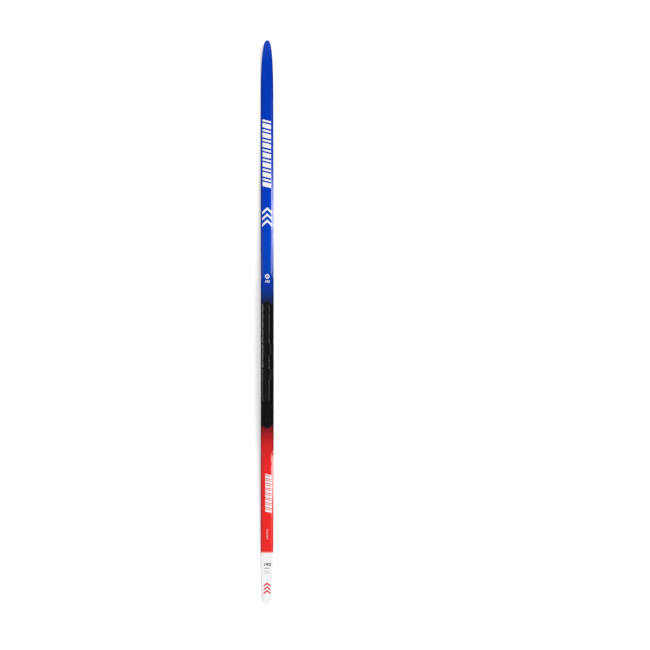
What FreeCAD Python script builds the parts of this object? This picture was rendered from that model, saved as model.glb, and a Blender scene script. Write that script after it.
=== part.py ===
import FreeCAD, Part
import math
import os

from FreeCAD import Vector

# Cross-country skating ski, one of a pair, without a binding.
# Frame: +X towards the tip, +Y to the left, +Z up, origin under the middle of
# the ski at the height of its two contact zones.  Sizes in millimetres.

os.makedirs("parts", exist_ok=True)
doc = FreeCAD.newDocument("cross_country_ski")

SIZES = [
    ("half_length", 960, "half of the length over all"),
    ("blank_width", 60, "width of the blanks the plan outline is cut from"),
    ("middle_half_width", 22, "half width along the platform"),
    ("camber_centre", -120, "place of the highest point of the base"),
    ("camber_height", 22, "free camber, unloaded"),
    ("front_contact", 800, "front contact line of the base"),
    ("rear_contact", -850, "rear contact line of the base"),
    ("tip_rise", 36, "height of the tip above the contact plane"),
    ("tail_rise", 9, "height of the tail above the contact plane"),
    ("tip_thickness", 5, "ski thickness at the tip"),
    ("tail_thickness", 6, "ski thickness at the tail"),
    ("middle_thickness", 26, "ski thickness at the camber centre"),
    ("edge_low", 4.6, "upright edge below the bevel at tip and tail"),
    ("edge_high", 15, "upright edge below the bevel near the platform"),
    ("crown_half_width", 12.5, "half width of the flat top between the bevels"),
    ("base_thickness", 1.6, "running base"),
    ("groove_width", 9, "guide groove of the base"),
    ("groove_depth", 1, "guide groove of the base"),
    ("groove_front", 850, "front end of the guide groove"),
    ("groove_rear", -925, "rear end of the guide groove"),
    ("lower_laminate_thickness", 0.8, "fibre laminate on the base"),
    ("top_sheet_thickness", 0.6, "printed film"),
    ("cap_thickness", 1, "fibre laminate under the film"),
    ("platform_front", 144, "front end of the upright sidewalls"),
    ("platform_rear", -428, "rear end of the upright sidewalls"),
    ("front_shoulder", 173, "where the front bevels reach full width"),
    ("rear_shoulder", -452, "where the rear bevels reach full width"),
    ("front_bevel_end", 800, "tip end of the front bevels"),
    ("rear_bevel_end", -780, "tail end of the rear bevels"),
    ("bevel_runout", 14, "length over which a bevel fades at its far end"),
    ("sidewall_thickness", 2.5, "upright plastic sidewall"),
    ("sidewall_blank", 6, "sidewall before it is trimmed to the outline"),
    ("sidewall_rebate", 1.2, "depth of the sidewall top below the film"),
    ("core_front", 770, "front end of the wood strips"),
    ("core_rear", -850, "rear end of the wood strips"),
    ("strip_pitch", 8, "sideways pitch of the wood strips"),
    ("channel_width", 2, "air channel between two wood strips"),
    ("sheet_half_width", 17, "half width of the mounting reinforcement"),
    ("sheet_thickness", 1, "thickness of the mounting reinforcement"),
    ("sheet_front", 130, "front end of the mounting reinforcement"),
    ("sheet_rear", -415, "rear end of the mounting reinforcement"),
    ("adhesive_thickness", 0.3, "bonding film under the binding plate"),
    ("adhesive_width", 38, "bonding film under the binding plate"),
    ("plate_nose", 74, "front of the binding plate's nose"),
    ("plate_front", 64, "full-width front edge of the binding plate"),
    ("plate_rear", -357, "rear end of the binding plate"),
    ("plate_half_width", 21.4, "half width of the binding plate"),
    ("plate_floor", 2.2, "top of the plate's floor above the ski"),
    ("plate_lip", 4.4, "top of the slot lips above the ski"),
    ("plate_rail", 6.2, "top of the side rails above the ski"),
    ("rail_inner", 14, "inner foot of the side rails"),
    ("rail_outer", 20, "outer face of the side rails"),
    ("rail_slope", 2.8, "sloped inner face of a side rail"),
    ("slot_half_width", 2.1, "half width of the centre slot"),
    ("lip_outer", 5.1, "outer face of the slot lips"),
    ("gap_pitch", 25.7, "pitch of the gaps in the side rails"),
    ("gap_width", 2.6, "gap in a side rail"),
    ("first_gap", 33.3, "front gap of the row of five"),
    ("lone_gap", -90.4, "single gap behind the row of five"),
    ("second_gap", -128.5, "front gap of the last two"),
    ("flange_front", -262, "front face of the cross rib between the two sections"),
    ("flange_rear", -266, "rear face of that rib"),
    ("seat_front", -72, "front end of the flat binding seat"),
    ("seat_rear", -108, "rear end of the flat binding seat"),
    ("seat_height", 4.2, "flat seat above the ski, at its middle"),
    ("tongue_half_width", 9.2, "half width of the rear tongue"),
    ("undercut_depth", 1.8, "depth of the undercut of the slide rails"),
    ("undercut_top", 1.3, "top of the undercut above the ski"),
    ("opening_row", 9.6, "sideways place of the rows of openings"),
    ("opening_width", 3.6, "width of the openings"),
    ("tooth_pitch", 12, "pitch of the small round openings"),
]
sheet = doc.addObject("Spreadsheet::Sheet", "dims")
for row, (alias, value, note) in enumerate(SIZES, start=1):
    sheet.set(f"A{row}", note)
    sheet.set(f"B{row}", str(value))
    sheet.setAlias(f"B{row}", alias)
doc.recompute()


def dim(alias):
    return float(sheet.get(alias))


HALF = dim("half_length")
CENTRE = dim("camber_centre")
LOWER = dim("base_thickness") + dim("lower_laminate_thickness")
FILM = dim("top_sheet_thickness")
SKIN = FILM + dim("cap_thickness")

# Half widths of the plan outline, (place along X, half width), tip to tail.
OUTLINE = [
    (960, 0), (959.4, 3), (957.5, 5.9), (951, 10), (940, 13.2), (919, 16.2), (892, 18.7),
    (865, 20.1), (824, 21.3), (760, 21.8), (480, 22), (0, 22), (-430, 22),
    (-700, 21.7), (-790, 21.3), (-856, 19.7), (-907, 17.2), (-941, 14),
    (-955, 9.6), (-958.9, 5), (-960, 0),
]


def ease(x):
    """1 at the camber centre, falling smoothly to 0 at the tip and the tail."""
    reach = HALF - CENTRE if x > CENTRE else HALF + CENTRE
    share = min(abs(x - CENTRE) / reach, 1)
    return (1 + math.cos(math.pi * share**1.3)) / 2


def base_z(x):
    """Height of the running base: camber arch, tip rise and tail rise."""
    front, rear = dim("front_contact"), dim("rear_contact")
    if x > front:
        return dim("tip_rise") * ((x - front) / (HALF - front)) ** 2
    if x < rear:
        return dim("tail_rise") * ((rear - x) / (HALF + rear)) ** 2
    reach = front - CENTRE if x > CENTRE else CENTRE - rear
    return dim("camber_height") * (1 + math.cos(math.pi * (x - CENTRE) / reach)) / 2


def top_z(x):
    """Height of the ski's flat top."""
    end = dim("tip_thickness") if x > CENTRE else dim("tail_thickness")
    return base_z(x) + end + (dim("middle_thickness") - end) * ease(x)


def edge_z(x):
    """Height of the lower edge of the bevel."""
    return base_z(x) + dim("edge_low") + (dim("edge_high") - dim("edge_low")) * ease(x)


def half_width(x):
    """Half width of the plan outline by straight steps between its points."""
    for (x_hi, w_hi), (x_lo, w_lo) in zip(OUTLINE, OUTLINE[1:]):
        if x_lo <= x <= x_hi:
            return w_lo + (w_hi - w_lo) * (x - x_lo) / (x_hi - x_lo)
    return 0


def long_curve(height, offset):
    """Spline along the whole ski through the given height plus an offset."""
    grid = [HALF * 1.02 * (i / 48 - 1) for i in range(97)]
    curve = Part.BSplineCurve()
    curve.interpolate([Vector(x, height(x) + offset, 0) for x in grid])
    return curve


CURVES = {}


def curve_piece(height, offset, x_low, x_high):
    """The part of a long curve between two places along X."""
    key = (height.__name__, offset)
    if key not in CURVES:
        CURVES[key] = long_curve(height, offset)
    curve = CURVES[key].copy()
    ends = []
    for x in (x_low, x_high):
        low, high = curve.FirstParameter, curve.LastParameter
        for _ in range(60):
            middle = (low + high) / 2
            if curve.value(middle).x < x:
                low = middle
            else:
                high = middle
        ends.append((low + high) / 2)
    curve.segment(*ends)
    return curve


def new_body(name):
    body = doc.addObject("PartDesign::Body", name)
    body.Label = name
    return body


def new_sketch(body, name, plane, offset=None):
    sketch = body.newObject("Sketcher::SketchObject", name)
    planes = {f.Role: f for f in body.Origin.OriginFeatures}
    sketch.AttachmentSupport = (planes[plane], [""])
    sketch.MapMode = "FlatFace"
    if offset:
        sketch.setExpression("AttachmentOffset.Base.z", offset)
    return sketch


def add_polygon(sketch, points):
    corners = [Vector(u, v, 0) for u, v in points]
    for start, end in zip(corners, corners[1:] + corners[:1]):
        sketch.addGeometry(Part.LineSegment(start, end))


def add_band(sketch, lower, upper, x_low, x_high):
    """Closed side profile between two (height, offset) curves."""
    under = curve_piece(*lower, x_low, x_high)
    over = curve_piece(*upper, x_low, x_high)
    sketch.addGeometry(under)
    sketch.addGeometry(Part.LineSegment(under.EndPoint, over.EndPoint))
    sketch.addGeometry(over)
    sketch.addGeometry(Part.LineSegment(over.StartPoint, under.StartPoint))


def band_pad(body, name, lower, upper, x_low, x_high, width):
    """Side profile padded equally to both sides of the ski's middle plane."""
    sketch = new_sketch(body, name + "_profile", "XZ_Plane")
    add_band(sketch, lower, upper, x_low, x_high)
    pad = body.newObject("PartDesign::Pad", name)
    pad.Profile = sketch
    pad.Midplane = True
    pad.setExpression("Length", width)
    return pad


def side_cut(body, name, bands, y_left, depth):
    """Side profiles pocketed towards -Y over the given depth."""
    sketch = new_sketch(body, name + "_profile", "XZ_Plane", f"-({y_left})")
    for band in bands:
        add_band(sketch, *band)
    pocket = body.newObject("PartDesign::Pocket", name)
    pocket.Profile = sketch
    pocket.Reversed = True
    pocket.setExpression("Length", depth)
    return pocket


def plan_pocket(body, name, sketch):
    pocket = body.newObject("PartDesign::Pocket", name)
    pocket.Profile = sketch
    pocket.Type = "ThroughAll"
    pocket.Midplane = True
    return pocket


def trim_to_outline(body, inset):
    """Cuts away everything outside the plan outline moved inwards by inset."""
    sketch = new_sketch(body, body.Name + "_outline", "XY_Plane")
    far = HALF + 40
    add_polygon(sketch, [(-far, -50), (far, -50), (far, 50), (-far, 50)])
    points = [(x * (HALF - inset) / HALF, max(w - inset, 0)) for x, w in OUTLINE]
    for side in (1, -1):
        edge = Part.BSplineCurve()
        edge.interpolate([Vector(x, side * w, 0) for x, w in points])
        sketch.addGeometry(edge)
    return plan_pocket(body, body.Name + "_plan", sketch)


def bevel_section(body, name, place, x, inset, open_share):
    """Triangle outside the bevel plane at one place along the ski."""
    side = half_width(x) - inset
    top, edge = top_z(x), edge_z(x)
    sketch = new_sketch(body, name, "YZ_Plane", place)
    if open_share:
        crown = dim("crown_half_width")
        run, rise = crown - half_width(x), top - edge
        length = math.hypot(run, rise)
        y_top = crown - inset * rise / length
        z_top = top + inset * run / length
        above, beyond = top + 2, side + 2
        corners = [
            (beyond, z_top + (beyond - y_top) * rise / run),
            (y_top + (above - z_top) * run / rise, above),
            (side + 3, above),
        ]
    else:
        corners = [(side + 2, edge), (side + 0.2, top + 2), (side + 3, top + 2)]
    add_polygon(sketch, corners)
    return sketch


def bevel_cuts(body, inset, end, near, far, runout):
    """Removes the +Y bevel between a platform shoulder and its far end."""
    shares = [0, 0.2, 0.4, 0.6, 0.8, 1]
    label = f"{body.Name}_{near}"
    x_near, x_far = dim(near), dim(far)
    places = [f"dims.{near} + (dims.{far} - dims.{near}) * {s}" for s in shares]
    spots = [x_near + (x_far - x_near) * s for s in shares]
    runs = [("main", [(p, x, 1) for p, x in zip(places, spots)])]
    runs.append(("shoulder", [(f"dims.{end}", dim(end), 0), (places[0], x_near, 1)]))
    fade = f"dims.{far} {runout} dims.bevel_runout"
    x_fade = x_far + float(f"{runout}1") * dim("bevel_runout")
    runs.append(("fade", [(places[-1], x_far, 1), (fade, x_fade, 0)]))
    made = []
    for part, stations in runs:
        sections = [
            bevel_section(body, f"{label}_{part}_{k}", place, x, inset, share)
            for k, (place, x, share) in enumerate(stations)
        ]
        loft = body.newObject("PartDesign::SubtractiveLoft", f"{label}_{part}")
        loft.Profile = sections[0]
        loft.Sections = sections[1:]
        loft.Ruled = part != "main"
        made.append(loft)
    return made


def envelope(name, inset, lower):
    """Whole ski shape moved inwards by inset: arch, outline and four bevels."""
    body = new_body(name)
    reach = HALF + 12
    upper = (top_z, -inset)
    band_pad(body, name + "_blank", lower, upper, -reach, reach, "dims.blank_width")
    trim_to_outline(body, inset)
    cuts = bevel_cuts(body, inset, "platform_front", "front_shoulder", "front_bevel_end", "+")
    cuts += bevel_cuts(body, inset, "platform_rear", "rear_shoulder", "rear_bevel_end", "-")
    doc.recompute()
    mirror = body.newObject("PartDesign::Mirrored", name + "_bevels")
    planes = {f.Role: f for f in body.Origin.OriginFeatures}
    mirror.MirrorPlane = (planes["XZ_Plane"], [""])
    mirror.Originals = cuts
    body.Tip = mirror
    doc.recompute()
    return body


def shaped(name, tool, *parts):
    """Boolean of two or more earlier shapes, named after the piece."""
    made = doc.addObject(tool, name)
    made.Label = name
    if tool == "Part::Cut":
        made.Base, made.Tool = parts
    else:
        made.Shapes = list(parts)
    return made


def clear_box(name, y_centre, width):
    """Upright lane along the ski, from the rear to the front end of the core."""
    lane = doc.addObject("Part::Box", name)
    lane.setExpression("Length", "dims.core_front - dims.core_rear")
    lane.setExpression("Width", width)
    lane.Height = 120
    lane.setExpression("Placement.Base.x", "dims.core_rear")
    lane.setExpression("Placement.Base.y", f"{y_centre} - ({width}) / 2")
    lane.setExpression("Placement.Base.z", "-20")
    return lane


# Three nested ski shapes: outside of the film, of the cap and of the core.
REACH = HALF + 12
outer = envelope("outer_shape", 0, (base_z, 0))
under_film = envelope("shape_under_film", FILM, (base_z, -5))
under_cap = envelope("shape_under_cap", SKIN, (base_z, -5))

# Everything below the top of the lower laminate.
below = new_body("below_laminate")
band_pad(below, "below", (base_z, -8), (base_z, LOWER), -REACH, REACH, "dims.blank_width + 4")

# Running base with its guide groove.
base_sheet = new_body("base_sheet")
base_top = (base_z, dim("base_thickness"))
band_pad(base_sheet, "base_blank", (base_z, 0), base_top, -REACH, REACH, "dims.blank_width")
trim_to_outline(base_sheet, 0)
groove = [(base_z, -2), (base_z, dim("groove_depth")), dim("groove_rear"), dim("groove_front")]
side_cut(base_sheet, "guide_groove", [groove], "dims.groove_width / 2", "dims.groove_width")

lower_laminate = new_body("lower_laminate")
laminate_top = (base_z, LOWER)
band_pad(lower_laminate, "laminate_blank", base_top, laminate_top, -REACH, REACH, "dims.blank_width")
trim_to_outline(lower_laminate, 0)

# Upright sidewalls of the platform.
sidewalls = []
wall_top = (top_z, -dim("sidewall_rebate"))
span = (dim("platform_rear") + 2, dim("platform_front") - 2)
inner_face = "(dims.middle_half_width - dims.sidewall_thickness)"
for name, place in (
    ("sidewall_left", f"-{inner_face} - dims.sidewall_blank"),
    ("sidewall_right", inner_face),
):
    wall = new_body(name)
    sketch = new_sketch(wall, name + "_profile", "XZ_Plane", place)
    add_band(sketch, laminate_top, wall_top, *span)
    pad = wall.newObject("PartDesign::Pad", name + "_blank")
    pad.Profile = sketch
    pad.setExpression("Length", "dims.sidewall_blank")
    trim_to_outline(wall, 0)
    sidewalls.append(wall)

reinforcement = new_body("mount_reinforcement")
band_pad(
    reinforcement, "reinforcement_sheet",
    (top_z, -SKIN - dim("sheet_thickness")), (top_z, -SKIN),
    dim("sheet_rear"), dim("sheet_front"), "2 * dims.sheet_half_width",
)
doc.recompute()

# Film and cap: the skins between the nested shapes, above the laminate.
skins = []
for name, over, under in (
    ("top_sheet", outer, under_film),
    ("torsion_cap", under_film, under_cap),
):
    shell = shaped(name + "_shell", "Part::Cut", over, under)
    raised = shaped(name + "_raised", "Part::Cut", shell, below)
    one_side = shaped(name + "_open_left", "Part::Cut", raised, sidewalls[0])
    skin = shaped(name, "Part::Cut", one_side, sidewalls[1])
    skins.append(skin)

# Core: wood strips between two plastic end fillers.
filling = shaped("core_filling", "Part::Cut", under_cap, below)
filling = shaped("core_open_left", "Part::Cut", filling, sidewalls[0])
filling = shaped("core_open_right", "Part::Cut", filling, sidewalls[1])
filling = shaped("core_recessed", "Part::Cut", filling, reinforcement)
strips = []
for number in range(1, 6):
    outermost = number in (1, 5)
    width = "dims.strip_pitch - dims.channel_width" + (" + 6" if outermost else "")
    centre = f"{3 - number} * dims.strip_pitch" + {1: " + 3", 5: " - 3"}.get(number, "")
    lane = clear_box(f"lane_of_strip_{number}", centre, width)
    strips.append(shaped(f"core_strip_{number}", "Part::MultiCommon", filling, lane))

spacers = []
for name, start, length in (
    ("tip_spacer", "dims.core_front", "dims.half_length"),
    ("tail_spacer", "-dims.half_length - 20", "dims.half_length + 20 + dims.core_rear"),
):
    block = clear_box(name + "_region", "0", "dims.blank_width")
    block.setExpression("Length", length)
    block.setExpression("Placement.Base.x", start)
    spacers.append(shaped(name, "Part::MultiCommon", filling, block))

# Bonding film and binding plate, both bent along with the ski's top.
FILM_TOP = dim("adhesive_thickness")
adhesive = new_body("plate_adhesive")
band_pad(
    adhesive, "adhesive_film", (top_z, 0), (top_z, FILM_TOP),
    dim("plate_rear") + 14, dim("plate_front") - 4, "dims.adhesive_width",
)

plate = new_body("binding_plate")
NOSE, FRONT, REAR = dim("plate_nose"), dim("plate_front"), dim("plate_rear")
FLOOR, LIP, RAIL = (top_z, dim("plate_floor")), (top_z, dim("plate_lip")), (top_z, dim("plate_rail"))
SKY = (top_z, 14)
band_pad(plate, "plate_blank", (top_z, FILM_TOP), RAIL, REAR - 4, NOSE + 4, "dims.blank_width")
side = dim("plate_half_width")
sketch = new_sketch(plate, "plate_outline", "XY_Plane")
add_polygon(sketch, [(REAR - 40, -50), (NOSE + 40, -50), (NOSE + 40, 50), (REAR - 40, 50)])
half_outline = [
    (NOSE, 5), (NOSE - 3, 8), (FRONT + 2, 8), (FRONT, 12), (FRONT, side - 2), (FRONT - 2, side),
    (REAR + 14, side), (REAR + 11, side - 2), (REAR + 3, 9), (REAR, 5),
]
add_polygon(sketch, half_outline + [(x, -y) for x, y in reversed(half_outline)])
plan_pocket(plate, "plate_plan", sketch)

# Undercut long edges: the slide rails a binding is pushed onto.
for name, edge in (("left_undercut", "dims.plate_half_width + 2"),
                   ("right_undercut", "-dims.plate_half_width + dims.undercut_depth")):
    side_cut(plate, name, [((top_z, -1), (top_z, dim("undercut_top")), REAR - 20, NOSE + 20)],
             edge, "dims.undercut_depth + 2")

# Lengthwise channels leave the side rails and the two lips of the slot.
FLANGE = (dim("flange_rear"), dim("flange_front"))
for name, x_low, x_high, foot in (
    ("front_channel", FLANGE[1], FRONT - 4, "dims.lip_outer"),
    ("rear_channel", REAR + 14, FLANGE[0], "dims.tongue_half_width"),
):
    band = [(FLOOR, SKY, x_low, x_high)]
    width = f"dims.rail_inner - {foot}"
    side_cut(plate, "left_" + name, band, "dims.rail_inner", width)
    side_cut(plate, "right_" + name, band, f"-{foot}", width)
side_cut(plate, "lip_level", [(LIP, SKY, REAR - 20, NOSE + 20)],
         "dims.rail_inner - 0.5", "2 * dims.rail_inner - 1")
side_cut(plate, "rear_level", [(LIP, SKY, REAR - 20, FLANGE[0])], "30", "60")

# Flat seat for the binding between the two centre slots.
seat = new_sketch(plate, "seat_profile", "XZ_Plane", "-dims.tongue_half_width")
seat_low, seat_high = dim("seat_rear"), dim("seat_front")
seat_z = top_z((seat_low + seat_high) / 2) + dim("seat_height")
add_polygon(seat, [(seat_low, seat_z), (seat_high, seat_z), (seat_high, seat_z + 9), (seat_low, seat_z + 9)])
facing = plate.newObject("PartDesign::Pocket", "binding_seat")
facing.Profile = seat
facing.Reversed = True
facing.setExpression("Length", "2 * dims.tongue_half_width")

# Flanges outside the side rails.
flange_width = "dims.plate_half_width + 2 - dims.rail_outer"
for name, edge in (("left_flange", "dims.plate_half_width + 2"), ("right_flange", "-dims.rail_outer")):
    side_cut(plate, name, [(FLOOR, SKY, REAR - 20, NOSE + 20)], edge, flange_width)

# Sloped inner faces of the side rails.
stations = 6
for side, name in ((1, "left_slope"), (-1, "right_slope")):
    sections = []
    for k in range(stations + 1):
        x = FLANGE[1] + (FRONT + 2 - FLANGE[1]) * k / stations
        sketch = new_sketch(plate, f"{name}_{k}", "YZ_Plane", f"{x}")
        foot, crest, drop = dim("rail_inner"), top_z(x) + dim("plate_rail"), dim("rail_slope")
        corners = [(foot - 1, crest - drop - 1), (foot + drop + 1, crest + 1), (foot - 1, crest + 1)]
        add_polygon(sketch, [(side * y, z) for y, z in corners])
        sections.append(sketch)
    loft = plate.newObject("PartDesign::SubtractiveLoft", name)
    loft.Profile = sections[0]
    loft.Sections = sections[1:]

# Gaps through the side rails.
pitch, gap = dim("gap_pitch"), dim("gap_width") / 2
first, lone, second = dim("first_gap"), dim("lone_gap"), dim("second_gap")
gaps = [first - pitch * k for k in range(5)] + [lone, second, second - pitch]
bands = [(FLOOR, SKY, x - gap, x + gap) for x in gaps]
rail_depth = "dims.plate_half_width - dims.rail_inner + 1"
side_cut(plate, "left_gaps", bands, "dims.plate_half_width", rail_depth)
side_cut(plate, "right_gaps", bands, "-dims.rail_inner + 1", rail_depth)

# Centre slot, its narrow rear part, and the rows of openings, all cut through.
sketch = new_sketch(plate, "opening_outlines", "XY_Plane")


def add_slot(x_low, x_high, y, width):
    """Straight slot with round ends."""
    r = width / 2
    for x, turn in ((x_low + r, 0), (x_high - r, math.pi)):
        circle = Part.Circle(Vector(x, y, 0), Vector(0, 0, 1), r)
        sketch.addGeometry(Part.ArcOfCircle(circle, math.pi / 2 + turn, 3 * math.pi / 2 + turn))
    for level in (y - r, y + r):
        sketch.addGeometry(Part.LineSegment(Vector(x_low + r, level, 0), Vector(x_high - r, level, 0)))


slot = dim("slot_half_width")
add_polygon(sketch, [(-70.6, -slot), (NOSE + 5, -slot), (NOSE + 5, slot), (-70.6, slot)])
add_slot(-155.8, -109.8, 0, 2 * slot)
add_slot(-255, -193, 0, slot)
row, opening, tooth = dim("opening_row"), dim("opening_width"), dim("tooth_pitch")
for y in (row, -row):
    for x_low, x_high in ((38, 56), (11, 29), (-10, 8), (-31, -14), (-48, -37), (-65, -54)):
        add_slot(x_low, x_high, y, opening)
    for k in range(4):
        add_slot(-119.5 - tooth * k, -112.5 - tooth * k, y, opening)
for y in (11.6, -11.6):
    for x_low, x_high in ((-288, -276), (-313, -299), (-336, -326)):
        add_slot(x_low, x_high, y, 3)
plan_pocket(plate, "openings", sketch)
doc.recompute()

PIECES = [base_sheet, lower_laminate, *sidewalls, reinforcement, *skins, *strips, *spacers]
PIECES += [adhesive, plate]
for piece in PIECES:
    shape = piece.Shape
    if shape.isNull() or not shape.isValid() or not shape.Solids:
        raise RuntimeError(f"{piece.Label} has no sound shape")
    shape.exportStep(f"parts/{piece.Label}.step")
for item in doc.Objects:
    if "Invalid" in item.State or "Error" in item.State:
        raise RuntimeError(f"{item.Name}: {item.State}")
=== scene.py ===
import math

import bmesh
import bpy
from mathutils import Matrix, Vector


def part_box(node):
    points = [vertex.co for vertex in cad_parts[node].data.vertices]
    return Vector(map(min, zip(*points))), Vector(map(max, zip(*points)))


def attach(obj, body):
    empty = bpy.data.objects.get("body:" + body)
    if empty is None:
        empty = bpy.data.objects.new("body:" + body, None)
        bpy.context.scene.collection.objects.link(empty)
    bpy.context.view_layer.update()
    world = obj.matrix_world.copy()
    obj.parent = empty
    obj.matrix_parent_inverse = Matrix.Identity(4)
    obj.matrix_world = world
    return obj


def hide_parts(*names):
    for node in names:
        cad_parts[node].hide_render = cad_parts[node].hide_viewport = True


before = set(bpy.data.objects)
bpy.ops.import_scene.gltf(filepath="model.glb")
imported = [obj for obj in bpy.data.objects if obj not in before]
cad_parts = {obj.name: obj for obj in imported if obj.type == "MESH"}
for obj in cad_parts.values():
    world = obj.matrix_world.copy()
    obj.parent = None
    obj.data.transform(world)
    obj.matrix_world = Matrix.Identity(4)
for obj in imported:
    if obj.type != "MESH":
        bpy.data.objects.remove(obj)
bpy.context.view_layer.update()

# Skating ski seen from above.  Everything below is worked out in millimetres in
# the frame of the CAD model (+X tip, +Y left, +Z up) and scaled by MM at the end.
MM = 0.001

# ---------------------------------------------------------------- dimensions
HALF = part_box("base_sheet")[1].x / MM
CENTRE = -120.0
CAMBER, TIP_RISE, TAIL_RISE = 22.0, 36.0, 9.0
FRONT_CONTACT, REAR_CONTACT = 800.0, -850.0
MIDDLE_THICK, TIP_THICK, TAIL_THICK = 26.0, 5.0, 6.0
EDGE_LOW, EDGE_HIGH = 4.6, 15.0
CROWN = 12.5
BASE, LAMINATE, FILM, REBATE = 1.6, 0.8, 0.6, 1.2
LOWER = BASE + LAMINATE
WALL = 2.5
WIDEST = 22.0  # half width of the ski along its platform
PLATFORM = (-428.0, 144.0)
SHOULDER = (-452.0, 173.0)
BEVEL_END = (-780.0, 800.0)
RUNOUT = 14.0
HOLLOW_AT, HOLLOW_DEPTH = 0.48, 0.3
GROOVE_WIDTH, GROOVE_DEPTH = 9.0, 1.0
GROOVE = (-925.0, 850.0)
NOSE, PLATE_FRONT, PLATE_REAR = 74.0, 64.0, -357.0

OUTLINE = [
    (960, 0), (959.4, 3), (957.5, 5.9), (951, 10), (940, 13.2), (919, 16.2), (892, 18.7),
    (865, 20.1), (824, 21.3), (760, 21.8), (480, 22), (0, 22), (-430, 22),
    (-700, 21.7), (-790, 21.3), (-856, 19.7), (-907, 17.2), (-941, 14),
    (-955, 9.6), (-958.9, 5), (-960, 0),
]


# ------------------------------------------------------------ shape of the ski
def ease(x):
    reach = HALF - CENTRE if x > CENTRE else HALF + CENTRE
    share = min(abs(x - CENTRE) / reach, 1)
    return (1 + math.cos(math.pi * share**1.3)) / 2


def base_z(x):
    if x > FRONT_CONTACT:
        return TIP_RISE * ((x - FRONT_CONTACT) / (HALF - FRONT_CONTACT)) ** 2
    if x < REAR_CONTACT:
        return TAIL_RISE * ((REAR_CONTACT - x) / (HALF + REAR_CONTACT)) ** 2
    reach = FRONT_CONTACT - CENTRE if x > CENTRE else CENTRE - REAR_CONTACT
    return CAMBER * (1 + math.cos(math.pi * (x - CENTRE) / reach)) / 2


def top_z(x):
    end = TIP_THICK if x > CENTRE else TAIL_THICK
    return base_z(x) + end + (MIDDLE_THICK - end) * ease(x)


def edge_z(x):
    return base_z(x) + EDGE_LOW + (EDGE_HIGH - EDGE_LOW) * ease(x)


def outline_points(step=2.0):
    """Dense points of a smooth curve through OUTLINE, by natural cubic splines over chord length."""
    length = [0.0]
    for (x0, y0), (x1, y1) in zip(OUTLINE, OUTLINE[1:]):
        length.append(length[-1] + math.hypot(x1 - x0, y1 - y0))
    n = len(OUTLINE)
    columns = []
    for axis in (0, 1):
        v = [p[axis] for p in OUTLINE]
        h = [length[i + 1] - length[i] for i in range(n - 1)]
        low, diag, rhs = [0.0] * n, [1.0] * n, [0.0] * n
        up = [0.0] * n
        for i in range(1, n - 1):
            low[i], diag[i], up[i] = h[i - 1], 2 * (h[i - 1] + h[i]), h[i]
            rhs[i] = 6 * ((v[i + 1] - v[i]) / h[i] - (v[i] - v[i - 1]) / h[i - 1])
        for i in range(1, n):
            f = low[i] / diag[i - 1]
            diag[i] -= f * up[i - 1]
            rhs[i] -= f * rhs[i - 1]
        m = [0.0] * n
        for i in range(n - 1, -1, -1):
            m[i] = (rhs[i] - (up[i] * m[i + 1] if i < n - 1 else 0)) / diag[i]
        columns.append((v, h, m))
    points = []
    for i in range(n - 1):
        count = max(2, int((length[i + 1] - length[i]) / step))
        for k in range(count + (i == n - 2)):
            t = k / count
            row = []
            for v, h, m in columns:
                a, b = 1 - t, t
                row.append(
                    a * v[i] + b * v[i + 1] + h[i] ** 2 / 6 * ((a**3 - a) * m[i] + (b**3 - b) * m[i + 1])
                )
            points.append(tuple(row))
    return points


CONTOUR = outline_points()


def half_width(x):
    low, high = 0, len(CONTOUR) - 1
    while high - low > 1:
        middle = (low + high) // 2
        if CONTOUR[middle][0] > x:
            low = middle
        else:
            high = middle
    (x0, w0), (x1, w1) = CONTOUR[low], CONTOUR[high]
    t = 0 if x1 == x0 else (x - x0) / (x1 - x0)
    return max(w0 + (w1 - w0) * min(max(t, 0), 1), 0.05)


def bevel_line(x, share):
    """Two points of the bevel plane's trace; share 0 stands it upright beside the ski."""
    side, top, edge = half_width(x), top_z(x), edge_z(x)
    above, beyond = top + 2, side + 2
    if share == 0:
        return (beyond, edge), (side + 0.2, above)
    run, rise = CROWN - side, top - edge
    return (beyond, top + (beyond - CROWN) * rise / run), (CROWN + 2 * run / rise, above)


def bevel(x):
    """(half width of the flat top, height of the bevel's lower edge) at x."""
    w, top = half_width(x), top_z(x)
    spans = [
        (BEVEL_END[0] - RUNOUT, BEVEL_END[0], 0, 1), (BEVEL_END[0], SHOULDER[0], 1, 1),
        (SHOULDER[0], PLATFORM[0], 1, 0), (PLATFORM[1], SHOULDER[1], 0, 1),
        (SHOULDER[1], BEVEL_END[1], 1, 1), (BEVEL_END[1], BEVEL_END[1] + RUNOUT, 1, 0),
    ]
    crown, edge = w, top
    for x0, x1, s0, s1 in spans:
        if x0 <= x <= x1:
            if s0 and s1:
                crown, edge = CROWN, edge_z(x)
            else:
                t = (x - x0) / (x1 - x0)
                (a0, b0), (a1, b1) = bevel_line(x0, s0), bevel_line(x1, s1)
                ay, az = (a0[k] + (a1[k] - a0[k]) * t for k in (0, 1))
                by, bz = (b0[k] + (b1[k] - b0[k]) * t for k in (0, 1))
                crown = by + (top - bz) * (ay - by) / (az - bz)
                edge = az + (w - ay) * (bz - az) / (by - ay)
    soft = min(0.7, w / 3)
    return max(min(crown, w - soft), 0.02), min(edge, top - 0.7 * soft)


def hollow_point(x):
    """(y, z) of the shallow valley that makes the bevel steeper above and flatter below."""
    (crown, edge), top, w = bevel(x), top_z(x), half_width(x)
    drop = top - edge
    return crown + (w - crown) * HOLLOW_AT, top - drop * HOLLOW_AT - HOLLOW_DEPTH * min(drop / 6, 1)


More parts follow.
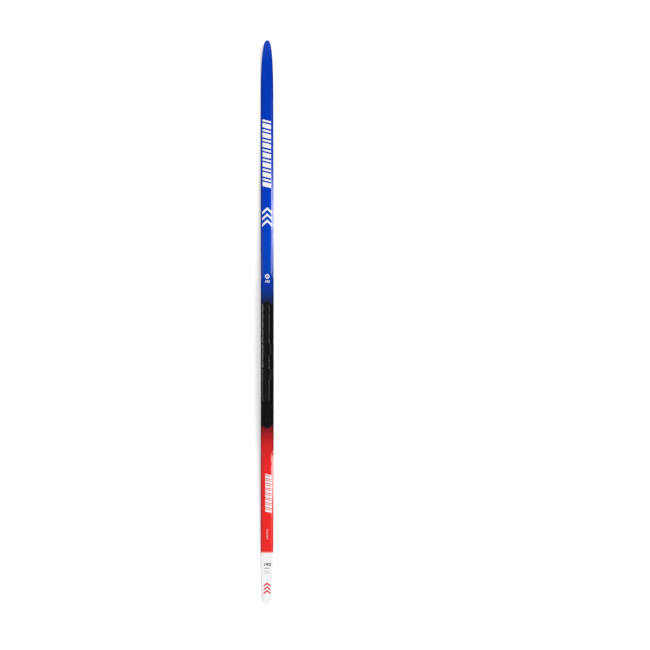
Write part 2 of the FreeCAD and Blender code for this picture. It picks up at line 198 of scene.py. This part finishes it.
def surface_z(x, y):
    """Height of the ski's upper surface above any point of its plan."""
    (crown, edge), (valley, valley_z) = bevel(x), hollow_point(x)
    path = [(crown, top_z(x)), (valley, valley_z), (half_width(x), edge)]
    for (y0, z0), (y1, z1) in zip(path, path[1:]):
        if abs(y) <= y1:
            return z0 + (z1 - z0) * max(abs(y) - y0, 0) / max(y1 - y0, 1e-6)
    return edge


def spread(places, step):
    """Stations along the ski: the given places and evenly spaced ones between them."""
    places = sorted(set(places))
    out = []
    for a, b in zip(places, places[1:]):
        n = max(1, math.ceil((b - a) / step))
        out += [a + (b - a) * k / n for k in range(n)]
    return out + [places[-1]]


# ------------------------------------------------------------- mesh building
def rounded(path, radii, steps=4):
    """Open path (y, z) with its inner corners rounded by quadratic arcs, always of equal point count."""
    out = [path[0]]
    for k in range(1, len(path) - 1):
        p, q, r = (Vector(path[i]) for i in (k - 1, k, k + 1))
        before, after = p - q, r - q
        reach_in = min(radii[k - 1], before.length * 0.45)
        reach_out = min(radii[k - 1], after.length * 0.45)
        a = q + (before.normalized() * reach_in if before.length > 1e-9 else Vector((0, 0)))
        b = q + (after.normalized() * reach_out if after.length > 1e-9 else Vector((0, 0)))
        for s in range(steps + 1):
            t = s / steps
            out.append(tuple(a * (1 - t) ** 2 + q * 2 * t * (1 - t) + b * t**2))
    out.append(path[-1])
    return out


def new_piece(name, bm, material, sharp=32):
    bmesh.ops.dissolve_degenerate(bm, dist=1e-3, edges=bm.edges)
    bmesh.ops.recalc_face_normals(bm, faces=bm.faces)
    mesh = bpy.data.meshes.new(name)
    bm.to_mesh(mesh)
    bm.free()
    mesh.transform(Matrix.Scale(MM, 4))
    mesh.shade_smooth()
    mesh.set_sharp_from_angle(angle=math.radians(sharp))
    piece = bpy.data.objects.new(name, mesh)
    bpy.context.scene.collection.objects.link(piece)
    mesh.materials.append(material)
    weighted = piece.modifiers.new("weighted", "WEIGHTED_NORMAL")
    weighted.keep_sharp = True
    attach(piece, "root")
    return piece


def loft(stations, section):
    """Closed skin through closed (y, z) sections at the given places along the ski."""
    bm = bmesh.new()
    rings = [[bm.verts.new((x, y, z)) for y, z in section(x)] for x in stations]
    n = len(rings[0])
    for a, b in zip(rings, rings[1:]):
        for i in range(n):
            j = (i + 1) % n
            bm.faces.new((a[i], a[j], b[j], b[i]))
    for ring in (rings[0], rings[-1]):
        bm.faces.new(ring)
    bmesh.ops.remove_doubles(bm, verts=bm.verts, dist=1e-4)
    bmesh.ops.dissolve_degenerate(bm, dist=1e-5, edges=bm.edges)
    return bm


def cut_lengthwise(bm, step=8.0, sideways=()):
    """Splits long faces across the ski, and at given places across its width, so that they can bend."""
    xs = [v.co.x for v in bm.verts]
    planes = [((x, 0, 0), (1, 0, 0)) for x in spread((min(xs), max(xs)), step)[1:-1]]
    planes += [((0, y, 0), (0, 1, 0)) for y in sideways]
    for point, normal in planes:
        geometry = bm.verts[:] + bm.edges[:] + bm.faces[:]
        bmesh.ops.bisect_plane(bm, geom=geometry, plane_co=point, plane_no=normal, dist=1e-5)


def mesh_of(data):
    """Mesh of a curve or text block, in a bmesh, with its seams closed."""
    carrier = bpy.data.objects.new("carrier", data)
    bpy.context.scene.collection.objects.link(carrier)
    graph = bpy.context.evaluated_depsgraph_get()
    mesh = bpy.data.meshes.new_from_object(carrier.evaluated_get(graph))
    bm = bmesh.new()
    bm.from_mesh(mesh)
    bpy.data.objects.remove(carrier)
    bpy.data.meshes.remove(mesh)
    bmesh.ops.remove_doubles(bm, verts=bm.verts, dist=1e-4)
    return bm


def flat_solid(loops, z0, z1, soft=0.0):
    """Solid between two heights inside closed loops of (x, y); loops inside others are holes."""
    data = bpy.data.curves.new("loops", "CURVE")
    data.dimensions = "2D"
    data.fill_mode = "BOTH"
    data.extrude = (z1 - z0) / 2 - soft
    data.bevel_depth = soft
    data.bevel_resolution = 1
    data.offset = -soft
    for loop in loops:
        spline = data.splines.new("POLY")
        spline.points.add(len(loop) - 1)
        for point, (x, y) in zip(spline.points, loop):
            point.co = (x, y, 0, 1)
        spline.use_cyclic_u = True
    bm = mesh_of(data)
    bpy.data.curves.remove(data)
    bmesh.ops.translate(bm, verts=bm.verts, vec=(0, 0, (z0 + z1) / 2))
    return bm


def joined(parts):
    """All parts in one bmesh; the parts are freed."""
    whole = bmesh.new()
    for part in parts:
        mesh = bpy.data.meshes.new("part")
        part.to_mesh(mesh)
        part.free()
        whole.from_mesh(mesh)
        bpy.data.meshes.remove(mesh)
    return whole


def bend(bm, height=top_z, flat=False):
    """Lifts a flat piece by height(x) when flat, else by height(x, y)."""
    for v in bm.verts:
        v.co.z += height(v.co.x) if flat else height(v.co.x, v.co.y)


# -------------------------------------------------------------------- materials
def srgb(r, g, b):
    def linear(c):
        c /= 255
        return c / 12.92 if c <= 0.04045 else ((c + 0.055) / 1.055) ** 2.4

    return (linear(r), linear(g), linear(b), 1)


class Nodes:
    """Short-hand for building one Principled material."""

    def __init__(self, name, roughness=0.4, specular=0.5):
        self.material = bpy.data.materials.new(name)
        self.material.use_nodes = True
        self.tree = self.material.node_tree
        self.shader = self.tree.nodes["Principled BSDF"]
        self.shader.inputs["Roughness"].default_value = roughness
        self.shader.inputs["Specular IOR Level"].default_value = specular
        self.place = self.add("ShaderNodeTexCoord").outputs["Object"]

    def add(self, kind, **settings):
        node = self.tree.nodes.new(kind)
        for key, value in settings.items():
            setattr(node, key, value)
        return node

    def link(self, source, target):
        self.tree.links.new(source, target)

    def scaled(self, factors):
        node = self.add("ShaderNodeMapping")
        node.inputs["Scale"].default_value = factors
        self.link(self.place, node.inputs["Vector"])
        return node.outputs["Vector"]

    def noise(self, factors, detail=4.0, roughness=0.55):
        node = self.add("ShaderNodeTexNoise")
        node.inputs["Scale"].default_value = 1
        node.inputs["Detail"].default_value = detail
        node.inputs["Roughness"].default_value = roughness
        self.link(self.scaled(factors), node.inputs["Vector"])
        return node.outputs["Fac"]

    def span(self, value, low, high, to_low, to_high):
        node = self.add("ShaderNodeMapRange")
        limits = {"From Min": low, "From Max": high, "To Min": to_low, "To Max": to_high}
        for name, number in limits.items():
            node.inputs[name].default_value = number
        self.link(value, node.inputs["Value"])
        return node.outputs["Result"]

    def ramp(self, value, stops, smooth=False):
        node = self.add("ShaderNodeValToRGB")
        line = node.color_ramp
        line.interpolation = "EASE" if smooth else "LINEAR"
        while len(line.elements) < len(stops):
            line.elements.new(0.5)
        for element, (at, colour) in zip(line.elements, stops):
            element.position = at
            element.color = colour
        self.link(value, node.inputs["Fac"])
        return node.outputs["Color"]

    def mixed(self, factor, a, b, blend="MIX"):
        node = self.add("ShaderNodeMix", data_type="RGBA", blend_type=blend)
        for socket, value in ((node.inputs[0], factor), (node.inputs[6], a), (node.inputs[7], b)):
            if isinstance(value, (int, float, tuple)):
                socket.default_value = value
            else:
                self.link(value, socket)
        return node.outputs[2]

    def shaded(self, colour, factor):
        """Colour times a number."""
        grey = self.add("ShaderNodeCombineXYZ")
        for socket in grey.inputs:
            self.link(factor, socket)
        return self.mixed(1.0, colour, grey.outputs[0], "MULTIPLY")

    def bump(self, height, strength, depth):
        node = self.add("ShaderNodeBump")
        node.inputs["Strength"].default_value = strength
        node.inputs["Distance"].default_value = depth
        self.link(height, node.inputs["Height"])
        self.link(node.outputs["Normal"], self.shader.inputs["Normal"])

    def colour(self, source):
        self.link(source, self.shader.inputs["Base Color"])

    def rough(self, source):
        self.link(source, self.shader.inputs["Roughness"])


# Colours of the printed film along the ski: (place in mm, colour).
PRINT = [
    (-960, (247, 245, 246)), (-780.6, (246, 244, 245)), (-780.0, (238, 46, 42)), (-502, (241, 43, 45)),
    (-450, (222, 41, 41)), (-406, (199, 36, 38)), (-379, (168, 32, 37)), (-355, (112, 28, 34)),
    (-335, (40, 38, 44)), (60, (38, 41, 48)), (84, (22, 44, 96)), (98, (14, 49, 128)),
    (129, (14, 54, 160)), (180, (6, 66, 180)), (240, (2, 69, 194)), (452, (3, 59, 196)),
    (742, (3, 58, 182)), (860, (2, 55, 180)), (960, (5, 62, 180)),
]


def printed_film():
    n = Nodes("printed_film", roughness=0.26, specular=0.22)
    along = n.add("ShaderNodeSeparateXYZ")
    n.link(n.place, along.inputs[0])
    share = n.span(along.outputs["X"], -HALF * MM, HALF * MM, 0, 1)
    stops = [((x + HALF) / (2 * HALF), srgb(*colour)) for x, colour in PRINT]
    ink = n.ramp(share, stops)
    mottled = n.span(n.noise((220, 220, 220), 5), 0.3, 0.7, 0.965, 1.035)
    ink = n.shaded(ink, mottled)
    # Painted shade: ahead of the white tail, the film's colour is darkened towards both long edges, by
    # up to half at 21 mm from the centre line. This stands in for the shade on the ski's rounded sides.
    # The ramp of colours along the ski is print.
    across = n.add("ShaderNodeMath", operation="ABSOLUTE")
    n.link(along.outputs["Y"], across.inputs[0])
    coloured = n.span(along.outputs["X"], -781 * MM, -780 * MM, 0, 1)
    painted_edge_shade = n.add("ShaderNodeMath", operation="MULTIPLY")
    n.link(n.span(across.outputs[0], 15 * MM, 21 * MM, 0, 0.5), painted_edge_shade.inputs[0])
    n.link(coloured, painted_edge_shade.inputs[1])
    ink = n.shaded(ink, n.span(painted_edge_shade.outputs[0], 0, 1, 1, 0))
    n.colour(ink)
    scuffs = n.noise((6, 900, 900), 3, 0.7)
    n.rough(n.span(scuffs, 0.35, 0.75, 0.17, 0.27))
    n.bump(n.noise((900, 900, 900), 2), 0.12, 0.00008)
    return n.material


def moulded(name, colour, painted_edge_highlight, grain=1400, roughness=(0.38, 0.55), specular=0.35):
    """Textured injection-moulded plastic with a painted highlight: its convex edges are mixed towards a
    paler colour.
    """
    n = Nodes(name, specular=specular)
    edges = n.add("ShaderNodeNewGeometry").outputs["Pointiness"]
    painted_highlight_share = n.span(edges, 0.53, 0.62, 0, 0.3)
    body = n.shaded(srgb(*colour), n.span(n.noise((60, 60, 60), 5), 0.3, 0.7, 0.85, 1.15))
    # Painted highlight: sharp convex edges are mixed towards the paler second colour, which stands in
    # for light caught by the edges.
    n.colour(n.mixed(painted_highlight_share, body, srgb(*painted_edge_highlight)))
    fine = n.noise((grain, grain, grain), 3)
    n.rough(n.span(fine, 0.3, 0.7, *roughness))
    n.bump(fine, 0.25, 0.0001)
    return n.material


def running_base():
    n = Nodes("running_base", specular=0.4)
    lines = n.noise((14, 2600, 40), 2, 0.6)
    shade = n.span(lines, 0.3, 0.7, 0, 1)
    n.colour(n.mixed(shade, srgb(26, 27, 30), srgb(44, 45, 49)))
    n.rough(n.span(n.noise((30, 500, 60), 4), 0.3, 0.7, 0.3, 0.5))
    n.bump(lines, 0.5, 0.00004)
    return n.material


def laminate(name, dark, light):
    """Woven fibre laminate."""
    n = Nodes(name, roughness=0.35, specular=0.5)
    weave = n.add("ShaderNodeTexWave", wave_type="BANDS", bands_direction="DIAGONAL")
    weave.inputs["Scale"].default_value = 260
    weave.inputs["Distortion"].default_value = 1.5
    n.link(n.place, weave.inputs["Vector"])
    n.colour(n.mixed(weave.outputs["Fac"], srgb(*dark), srgb(*light)))
    n.bump(weave.outputs["Fac"], 0.3, 0.00006)
    return n.material


def core_wood():
    n = Nodes("core_wood", specular=0.3)
    grain = n.noise((8, 500, 260), 6, 0.6)
    n.colour(n.mixed(n.span(grain, 0.35, 0.65, 0, 1), srgb(205, 172, 124), srgb(232, 206, 160)))
    n.rough(n.span(grain, 0.3, 0.7, 0.55, 0.75))
    n.bump(grain, 0.3, 0.0002)
    return n.material


def ink(name, colour, roughness=(0.26, 0.36)):
    """Print on the film: slightly uneven colour and gloss."""
    n = Nodes(name, specular=0.22)
    speckle = n.noise((700, 700, 700), 4)
    dark = tuple(c * 0.96 for c in colour)
    n.colour(n.mixed(n.span(speckle, 0.35, 0.65, 0, 1), srgb(*dark), srgb(*colour)))
    n.rough(n.span(speckle, 0.3, 0.7, *roughness))
    return n.material


film_print_and_shade = printed_film()
# The second colour in each moulded() call is a painted highlight for the piece's convex edges, not a
# colour of the plastic.
sidewall_black = moulded("sidewall_black", (26, 28, 34), (70, 72, 78), 900, (0.3, 0.45))
plate_black = moulded("plate_black", (13, 14, 18), (46, 48, 54), roughness=(0.3, 0.42), specular=0.16)
plate_polished = moulded("plate_polished", (15, 16, 20), (46, 48, 54), 300, (0.18, 0.25), 0.8)
base_black = running_base()
fibre = laminate("fibre_laminate", (18, 18, 20), (44, 44, 48))
white_ink = ink("white_ink", (247, 248, 250))
dark_ink = ink("dark_ink", (24, 26, 34))
grey_ink = ink("grey_ink", (150, 152, 158))
red_ink = ink("red_ink", (226, 38, 40))
pale_ink = ink("pale_ink", (250, 214, 210))

# ---------------------------------------------------------- layers of the ski
tip_places = [x for x, _ in CONTOUR if x > 850 or x < -830]
TIP = HALF - 0.02
STATIONS = spread([min(max(x, -TIP), TIP) for x in tip_places], 6.0)
SIDE_SPAN = (PLATFORM[0] + 2, PLATFORM[1] - 2)
KEY_PLACES = [*PLATFORM, *SHOULDER, *BEVEL_END, BEVEL_END[0] - RUNOUT, BEVEL_END[1] + RUNOUT]
film_stations = sorted({*STATIONS, *KEY_PLACES, *SIDE_SPAN, SIDE_SPAN[0] - 0.05, SIDE_SPAN[1] + 0.05})


def film_section(x):
    w, (crown, edge), top = half_width(x), bevel(x), top_z(x)
    platform = SIDE_SPAN[0] <= x <= SIDE_SPAN[1]
    foot = top - REBATE if platform else base_z(x) + LOWER
    edge = max(edge, foot + 0.1)
    valley, valley_z = hollow_point(x)
    outer = [(-w, foot), (-w, edge), (-valley, valley_z), (-crown, top)]
    outer += [(-y, z) for y, z in reversed(outer)]
    inner_w, inner_crown = max(w - FILM, w * 0.3), max(crown - FILM / 2, crown * 0.3)
    inner = [(inner_w, foot), (inner_w, edge - FILM / 2), (inner_crown, top - FILM)]
    inner[1] = (inner_w, max(inner[1][1], foot + 0.05))
    mirrored = [(-y, z) for y, z in reversed(inner)]
    return rounded(outer, (0.8, 1.2, 2.6, 2.6, 1.2, 0.8), 6) + inner + mirrored


film = new_piece("printed_top", loft(film_stations, film_section), film_print_and_shade)
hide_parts("top_sheet")

for name, sign in (("left", 1), ("right", -1)):

    def wall_section(x, sign=sign):
        w, low, high = half_width(x) - 0.08, base_z(x) + LOWER, top_z(x) - REBATE
        inner = WIDEST - WALL
        path = [(inner, high), (w, high), (w, low), (inner, low)]
        return [(sign * y, z) for y, z in rounded(path, (0.35, 0.35), 3)]

    wall_stations = [x for x in film_stations if SIDE_SPAN[0] <= x <= SIDE_SPAN[1]]
    wall_bm = loft(wall_stations, wall_section)
    wall = new_piece(f"side_{name}", wall_bm, sidewall_black)
    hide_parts(f"sidewall_{name}")


def base_section(x):
    w, low = half_width(x), base_z(x)
    ramp = min(max(min(x - GROOVE[0], GROOVE[1] - x) / 25, 0), 1)
    g, d = min(GROOVE_WIDTH / 2, w * 0.5), GROOVE_DEPTH * ramp * ramp * (3 - 2 * ramp)
    path = [(-w, low + BASE), (-w, low), (-g, low), (-g + 0.6, low + d)]
    path += [(-y, z) for y, z in reversed(path)]
    return rounded(path, (0.35, 0.7, 0.7, 0.7, 0.7, 0.35), 3)


def lamina_section(x):
    w, low = half_width(x) - 0.12, base_z(x)
    w = max(w, 0.02)
    return [(-w, low + BASE), (w, low + BASE), (w, low + LOWER), (-w, low + LOWER)]


base = new_piece("running_surface", loft(STATIONS, base_section), base_black)
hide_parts("base_sheet")
lamina = new_piece("lower_fibre_sheet", loft(STATIONS, lamina_section), fibre)
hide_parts("lower_laminate")

# CAD pieces that keep their shape get their own materials.
# The second colours of bonding_black and filler_grey are painted highlights for their convex edges.
kept = {
    "torsion_cap": fibre, "mount_reinforcement": fibre, "plate_adhesive": moulded(
        "bonding_black", (16, 16, 18), (30, 30, 33)),
    "tip_spacer": moulded("filler_grey", (206, 206, 200), (224, 224, 218)),
}
kept["tail_spacer"] = kept["tip_spacer"]
wood = core_wood()
kept.update({f"core_strip_{k}": wood for k in range(1, 6)})
for node, material in kept.items():
    mesh_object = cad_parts[node]
    for entry in mesh_object.material_slots:
        entry.link = "OBJECT"
        entry.material = material

# ------------------------------------------------------------- binding plate
# Heights above the ski's top surface, then half widths of the plate and its parts.
GLUE, FLOOR, LIP, RAIL = 0.3, 2.2, 4.4, 6.2
SIDE, LIP_OUT, SLOT = 21.4, 5.1, 2.1
RAIL_IN, RAIL_OUT, SLOPE, TONGUE = 14.0, 20.0, 2.8, 9.2
FRONT_DROP, REAR_DROP = 2.45, 3.3
RIB = (-266.0, -262.0)
NOSE_SLOT_END = -70.6
SEAT, SEAT_HIGH = (-108.0, -72.0), 4.2
PITCH, GAP = 25.7, 2.6
RIM_HIGH, RIM_WIDE = 0.55, 1.1
FRONT_ROW, FRONT_HOLE = 9.6, 3.6
REAR_ROW, REAR_HOLE = 11.6, 3.0
REAR_BEND = PLATE_REAR + 14
RAIL_TUCK = 0.35
# Smooth slopes beside the lips and low pads across the plate, which catch the light.
FLANK, FLANK_DROP = 1.5, 0.85
LIP_FLANKS = [(-262, -194), (-155.5, -109.5), (-70, 62)]
PADS, PAD_SIDE, PAD_HIGH = [(-192.5, -156.5), (-108.5, -71.0)], 12.1, 1.8
GAPS = [33.3 - PITCH * k for k in range(5)] + [-90.4, -128.5, -128.5 - PITCH]


def oblong(x0, x1, y, width, steps=5):
    """Closed loop of a slot with round ends."""
    r = width / 2
    points = []
    for cx, start in ((x1 - r, -math.pi / 2), (x0 + r, math.pi / 2)):
        for k in range(steps + 1):
            a = start + math.pi * k / steps
            points.append((cx + r * math.cos(a), y + r * math.sin(a)))
    return points


def arc_corner(points, radius, steps=4):
    """Closed loop with every corner rounded."""
    out = []
    n = len(points)
    for k in range(n):
        p, q, r = (Vector(points[(k + d) % n]) for d in (-1, 0, 1))
        a = q + (p - q).normalized() * min(radius, (p - q).length * 0.45)
        b = q + (r - q).normalized() * min(radius, (r - q).length * 0.45)
        for s in range(steps + 1):
            t = s / steps
            out.append(tuple(a * (1 - t) ** 2 + q * 2 * t * (1 - t) + b * t**2))
    return out


def both_sides(half):
    return half + [(x, -y) for x, y in reversed(half)]


def box_loop(x0, x1, y0, y1):
    return [(x0, y0), (x1, y0), (x1, y1), (x0, y1)]


FRONT_OPENINGS = [(38, 56), (11, 29), (-10, 8), (-31, -14), (-48, -37), (-65, -54)]
FRONT_OPENINGS += [(-119.5 - 12 * k, -112.5 - 12 * k) for k in range(4)]
REAR_OPENINGS = [(-288, -276), (-313, -299), (-336, -326)]
openings, rims = [], []
for side in (1, -1):
    for x0, x1 in FRONT_OPENINGS:
        hole = oblong(x0, x1, side * FRONT_ROW, FRONT_HOLE)
        rim_width = FRONT_HOLE + 2 * RIM_WIDE
        openings.append(hole)
        rims.append([oblong(x0 - RIM_WIDE, x1 + RIM_WIDE, side * FRONT_ROW, rim_width), hole])
    openings += [oblong(x0, x1, side * REAR_ROW, REAR_HOLE) for x0, x1 in REAR_OPENINGS]
centre_slots = [oblong(-155.8, -109.8, 0, 2 * SLOT), oblong(-255, -193, 0, SLOT)]
nose_slot = [(NOSE, SLOT), (NOSE_SLOT_END, SLOT)]


def plate_outline(side):
    front = [(NOSE, LIP_OUT), (NOSE - 3, 8), (PLATE_FRONT + 2, 8)]
    front += [(PLATE_FRONT, 12), (PLATE_FRONT, side)]
    rear = [(REAR_BEND, side), (PLATE_REAR + 5, 11), (PLATE_REAR, 5)]
    return arc_corner(both_sides(nose_slot[::-1] + front + rear), 1.4)


rear_half = [(RIB[1], RAIL_OUT), (REAR_BEND, RAIL_OUT)]
rear_half += [(PLATE_REAR + 5.5, 10.5), (PLATE_REAR + 0.6, 4.8)]
spine_half = [(NOSE_SLOT_END, SLOT), (NOSE, SLOT), (NOSE, LIP_OUT), (RIB[0] - 3, LIP_OUT)]
channels = [box_loop(REAR_BEND, RIB[0], *sorted((s * TONGUE, s * RAIL_IN))) for s in (1, -1)]
plate_parts = [
    flat_solid([plate_outline(SIDE - 1.8), *openings, *centre_slots], GLUE, 1.35, 0.05),
    flat_solid([plate_outline(SIDE), *openings, *centre_slots], 1.3, FLOOR, 0.25),
    flat_solid([both_sides(spine_half), *centre_slots], 1.6, LIP, 0.4),
    flat_solid([both_sides(rear_half), *[arc_corner(c, 1.2) for c in channels]], 1.7, LIP, 0.4),
]
plate_parts += [flat_solid(loops, FLOOR - 0.3, FLOOR + RIM_HIGH, 0.22) for loops in rims]
for part in plate_parts:
    cut_lengthwise(part)

rail_ends = sorted([RIB[0], PLATE_FRONT - 0.5, *[g + s * GAP / 2 for g in GAPS for s in (1, -1)]])
for x0, x1 in zip(rail_ends[::2], rail_ends[1::2]):
    for sign in (1, -1):

        def rail_section(x, sign=sign, x0=x0, x1=x1):
            drop = FRONT_DROP if x0 > GAPS[-1] else REAR_DROP
            tuck = RAIL_TUCK * (1 - min(min(x - x0, x1 - x) / RAIL_TUCK, 1))
            low, high = FLOOR - 0.5, RAIL - tuck
            path = [
                (RAIL_IN + tuck, low), (RAIL_IN + tuck, high - drop),
                (RAIL_IN + SLOPE + tuck, high), (RAIL_OUT - tuck, high), (RAIL_OUT - tuck, low),
            ]
            return [(sign * y, z) for y, z in rounded(path, (0.5, 0.5, 0.5), 3)]

        rail_places = [x0, x0 + RAIL_TUCK, x1 - RAIL_TUCK, x1]
        plate_parts.append(loft(spread(rail_places, 8.0), rail_section))

polished_parts = []
for x0, x1 in LIP_FLANKS:
    for sign in (1, -1):

        def flank_section(x, sign=sign):
            start, high = LIP_OUT - 0.4, LIP - 0.1
            path = [
                (LIP_OUT - 1, FLOOR), (LIP_OUT - 1, high), (start, high),
                (start + FLANK, high - FLANK_DROP), (start + FLANK, FLOOR),
            ]
            return [(sign * y, z) for y, z in rounded(path, (0.1, 0.1, 0.2), 2)]

        polished_parts.append(loft(spread((x0, x1), 8.0), flank_section))

for x0, x1 in PADS:

    def pad_section(x):
        outer, high = PAD_SIDE + 0.3, FLOOR + PAD_HIGH
        half = [(outer, FLOOR - 0.4), (outer, high - FLANK_DROP), (outer - FLANK, high)]
        return half + [(-y, z) for y, z in reversed(half)]

    polished_parts.append(loft(spread((x0, x1), 8.0), pad_section))

for part in polished_parts:
    for face in part.faces:
        face.material_index = 1
plate_parts += polished_parts
plate_bm = joined(plate_parts)
bend(plate_bm, flat=True)
seat_z = top_z(sum(SEAT) / 2) + SEAT_HIGH
for v in plate_bm.verts:
    if SEAT[0] <= v.co.x <= SEAT[1] and abs(v.co.y) < TONGUE:
        v.co.z = min(v.co.z, seat_z)
plate = new_piece("slide_plate", plate_bm, plate_black, 40)
plate.data.materials.append(plate_polished)
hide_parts("binding_plate")

# -------------------------------------------------------------------- graphics
INK_LOW, INK_HIGH = -0.05, 0.06


def graphic(name, loops, material):
    """Print on the upper surface, following its bevels."""
    bm = flat_solid(loops, INK_LOW, INK_HIGH)
    cut_lengthwise(bm, 5.0, (CROWN, -CROWN))
    bend(bm, surface_z)
    return new_piece(name, bm, material, 30)


def block(x, y, long, wide, slant=0.0):
    return [(x, y), (x + long, y), (x + long + slant, y + wide), (x + slant, y + wide)]


def bar_row(x0, x1, y0, y1, cells, lean, strokes):
    """Leaning bars that stand in for lettering; strokes gives (start, width) of each bar in a cell."""
    cell = (x1 - x0 - lean) / cells
    return [
        block(x0 + (k + at) * cell, y0, wide * cell, y1 - y0, lean)
        for k in range(cells) for at, wide in strokes
    ]


THICK_AND_THIN = ((0.0, 0.46), (0.62, 0.2))
graphic("white_bars_front", bar_row(459, 701, -13.3, 15.7, 7, 7, THICK_AND_THIN), white_ink)
graphic("white_bars_rear", bar_row(-647, -510, -14.7, 6.5, 8, 5, THICK_AND_THIN), white_ink)
graphic("small_dashes", bar_row(-738, -699, -3.6, 2.2, 5, 1.2, ((0, 0.16), (0.4, 0.16))), pale_ink)


def chevron(x, width, depth, thick):
    """Arrow head that points at the tip."""
    half = width / 2
    return [
        (x, 0), (x - depth, half), (x - depth - thick, half), (x - thick, 0),
        (x - depth - thick, -half), (x - depth, -half),
    ]


graphic("chevrons_front", [chevron(394 - 21 * k, 34, 16, 9) for k in range(3)], white_ink)
graphic("chevrons_tail", [chevron(-886 - 12.5 * k, 24, 9, 6) for k in range(3)], red_ink)


def circle(x, y, radius, count=40):
    turn = 2 * math.pi / count
    return [(x + radius * math.cos(turn * k), y + radius * math.sin(turn * k)) for k in range(count)]


graphic("ring_mark", [circle(158, 0, radius) for radius in (7.7, 4.3, 1.7)], white_ink)


def number(name, text, x, y, height, width, weight, material):
    """Figures that read across the ski, upright with the tip on top."""
    data = bpy.data.curves.new(name, "FONT")
    data.body = text
    data.size = height / 0.73
    data.align_x = "CENTER"
    data.offset = weight
    data.extrude = (INK_HIGH - INK_LOW) / 2
    data.resolution_u = 4
    data.shear = 0.18
    bm = mesh_of(data)
    bpy.data.curves.remove(data)
    across = [v.co.x for v in bm.verts]
    stretch = width / (max(across) - min(across))
    middle = (max(across) + min(across)) / 2
    for v in bm.verts:
        tx, ty, tz = v.co
        v.co = (x + ty - height / 2, y - (tx - middle) * stretch, tz + (INK_LOW + INK_HIGH) / 2)
    cut_lengthwise(bm, 5.0, (CROWN, -CROWN))
    bend(bm, surface_z)
    return new_piece(name, bm, material, 30)


number("size_number_front", "192", 141, 0, 8, 16, 0.25, white_ink)
number("size_number_tail", "192", -824, -1.3, 10, 24, 0.5, dark_ink)
graphic("tail_line_dark", [block(-838.2, -9 + 4.7 * k, 2.2, 3.6) for k in range(4)], dark_ink)
graphic("tail_lines_grey", [block(x, -11.5, 1.2, 22.5) for x in (-848, -855)], grey_ink)

# ------------------------------------------------------ floor, light and camera
floor_bm = bmesh.new()
bmesh.ops.create_grid(floor_bm, x_segments=40, y_segments=40, size=20)
floor_mesh = bpy.data.meshes.new("studio_floor")
floor_bm.to_mesh(floor_mesh)
floor_bm.free()
floor = bpy.data.objects.new("studio_floor", floor_mesh)
bpy.context.scene.collection.objects.link(floor)
n = Nodes("studio_paper", roughness=0.9, specular=0.0)
tone = n.span(n.noise((3, 3, 3), 3), 0.3, 0.7, 0, 1)
n.colour(n.mixed(tone, (0.93, 0.93, 0.935, 1), (0.945, 0.945, 0.95, 1)))
n.shader.inputs["Emission Color"].default_value = (1, 1, 1, 1)
n.shader.inputs["Emission Strength"].default_value = 0.33
floor_mesh.materials.append(n.material)

scene = bpy.context.scene
scene.view_settings.view_transform = "Standard"

world = bpy.data.worlds.new("studio_surround")
world.use_nodes = True
scene.world = world
tree = world.node_tree
background = tree.nodes["Background"]
place = tree.nodes.new("ShaderNodeTexCoord")
parts = tree.nodes.new("ShaderNodeSeparateXYZ")
ramp = tree.nodes.new("ShaderNodeValToRGB")
tree.links.new(place.outputs["Generated"], parts.inputs[0])
tree.links.new(parts.outputs["Z"], ramp.inputs["Fac"])
side = tree.nodes.new("ShaderNodeMapRange")
for name, value in (("From Min", -0.8), ("From Max", 0.8), ("To Min", 1.45), ("To Max", 0.5)):
    side.inputs[name].default_value = value
tree.links.new(parts.outputs["Y"], side.inputs["Value"])
tree.links.new(side.outputs["Result"], background.inputs["Strength"])
tree.links.new(ramp.outputs["Color"], background.inputs["Color"])
ring = ramp.color_ramp
while len(ring.elements) < 3:
    ring.elements.new(0.5)
for element, (at, level) in zip(ring.elements, ((0.0, 0.98), (0.8, 0.98), (0.93, 0.02))):
    element.position = at
    element.color = (level, level, level, 1)


def area_light(name, at, aim, size, watts):
    data = bpy.data.lights.new(name, "AREA")
    data.shape = "RECTANGLE"
    data.size, data.size_y = size
    data.energy = watts
    lamp = bpy.data.objects.new(name, data)
    scene.collection.objects.link(lamp)
    lamp.location = at
    lamp.rotation_mode = "QUATERNION"
    lamp.rotation_quaternion = (Vector(aim) - Vector(at)).to_track_quat("-Z", "Y")
    return lamp


SUN_HEIGHT = math.radians(74)
sun_data = bpy.data.lights.new("key_light", "SUN")
sun_data.energy = 0.9
sun_data.angle = math.radians(24)
key = bpy.data.objects.new("key_light", sun_data)
scene.collection.objects.link(key)
key.rotation_mode = "QUATERNION"
sun_ray = Vector((0, math.cos(SUN_HEIGHT), -math.sin(SUN_HEIGHT)))
key.rotation_quaternion = sun_ray.to_track_quat("-Z", "Y")
key.visible_glossy = False
streak = area_light("streak_light", (0, -1.6, 0.33), (0, 0, 0.05), (3.0, 0.52), 120)
streak.visible_diffuse = False

CAMERA_AT = (-0.007, 0.15, 6.0)
CAMERA_LEAN = math.atan2(0.3486, CAMERA_AT[2])
camera_data = bpy.data.cameras.new("camera")
camera_data.sensor_width = 36
camera_data.lens = 97.2
camera_data.clip_end = 50
camera = bpy.data.objects.new("camera", camera_data)
scene.collection.objects.link(camera)
camera.location = CAMERA_AT
camera.rotation_euler = (0, -CAMERA_LEAN, -math.pi / 2)
scene.camera = camera
